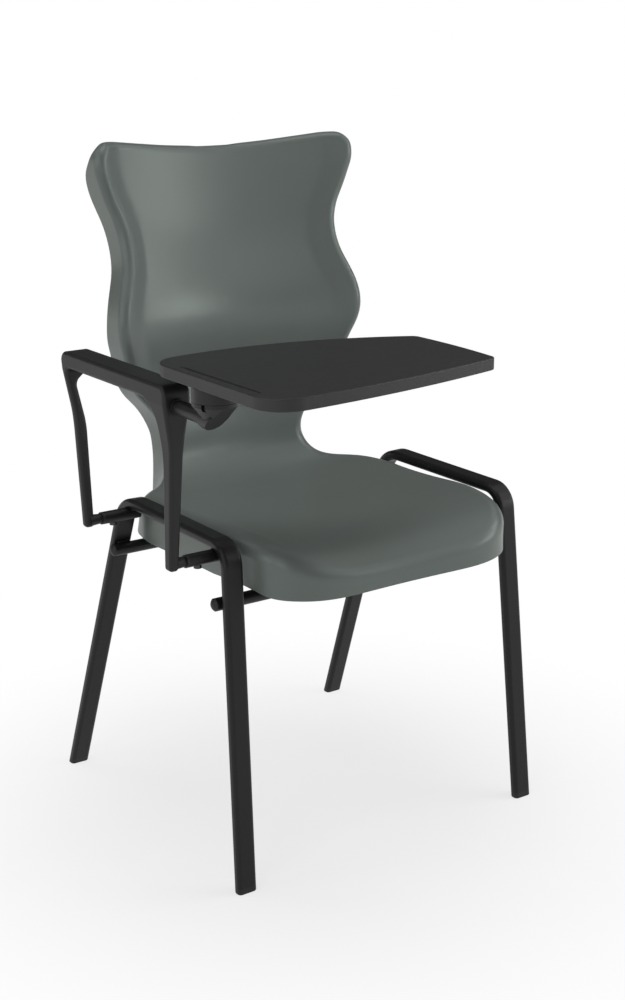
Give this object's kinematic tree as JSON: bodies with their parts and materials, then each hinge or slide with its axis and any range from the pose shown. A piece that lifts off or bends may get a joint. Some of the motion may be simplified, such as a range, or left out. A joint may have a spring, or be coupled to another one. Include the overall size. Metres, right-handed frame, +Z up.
{
  "type": "school chair with folding writing tablet",
  "caption": "Moulded shell chair on a bent oval-tube frame, with a loop armrest and a writing tablet that lifts on a hinge and swivels to hang beside the seat.",
  "frame": {"origin": "on the floor, under the middle of the whole outline seen from above", "axes": "+Z up, -Y the way the sitter faces, armrest and tablet hinge on the -X side"},
  "size_m": [0.6064, 0.717, 0.9845],
  "materials": {
    "shell_plastic": "satin moulded grey-green plastic",
    "frame_paint": "satin black powder coat",
    "cap_plastic": "matt black plastic",
    "armrest_plastic": "fine-grained matt black plastic",
    "hinge_plastic": "matt black plastic",
    "tablet_board": "matt black board with a fine grain",
    "bare_steel": "blackened steel"
  },
  "bodies": {
    "chair": {"left_side_frame": "frame_paint", "right_side_frame": "frame_paint", "front_crossbar": "frame_paint", "rear_crossbar": "frame_paint", "front_arm_socket": "frame_paint", "rear_arm_socket": "frame_paint", "front_left_foot_cap": "cap_plastic", "rear_left_foot_cap": "cap_plastic", "front_right_foot_cap": "cap_plastic", "rear_right_foot_cap": "cap_plastic", "crossbar_end_caps": "cap_plastic", "socket_bushes": "cap_plastic", "seat_shell": "shell_plastic", "armrest": "armrest_plastic", "hinge_collar": "hinge_plastic", "hinge_barrel": "hinge_plastic", "hinge_axle": "bare_steel", "armrest_pegs": "bare_steel", "socket_screws": "bare_steel", "seat_screws": "bare_steel"},
    "knuckle": {"hinge_knuckle": "hinge_plastic"},
    "tablet": {"turret": "hinge_plastic", "swivel_pin": "bare_steel", "turret_screws": "bare_steel", "writing_tablet": "tablet_board"}
  },
  "joints": [
    {"name": "tablet_flip", "type": "hinge", "parent": "chair", "child": "knuckle", "pos_m": [-0.27723, -0.18719, 0.684], "axis": [0, -1, 0], "range_deg": [0, 90]},
    {"name": "tablet_swivel", "type": "hinge", "parent": "knuckle", "child": "tablet", "pos_m": [-0.27423, -0.18719, 0.7085], "axis": [0, 0, -1], "range_deg": [0, 180]}
  ]
}
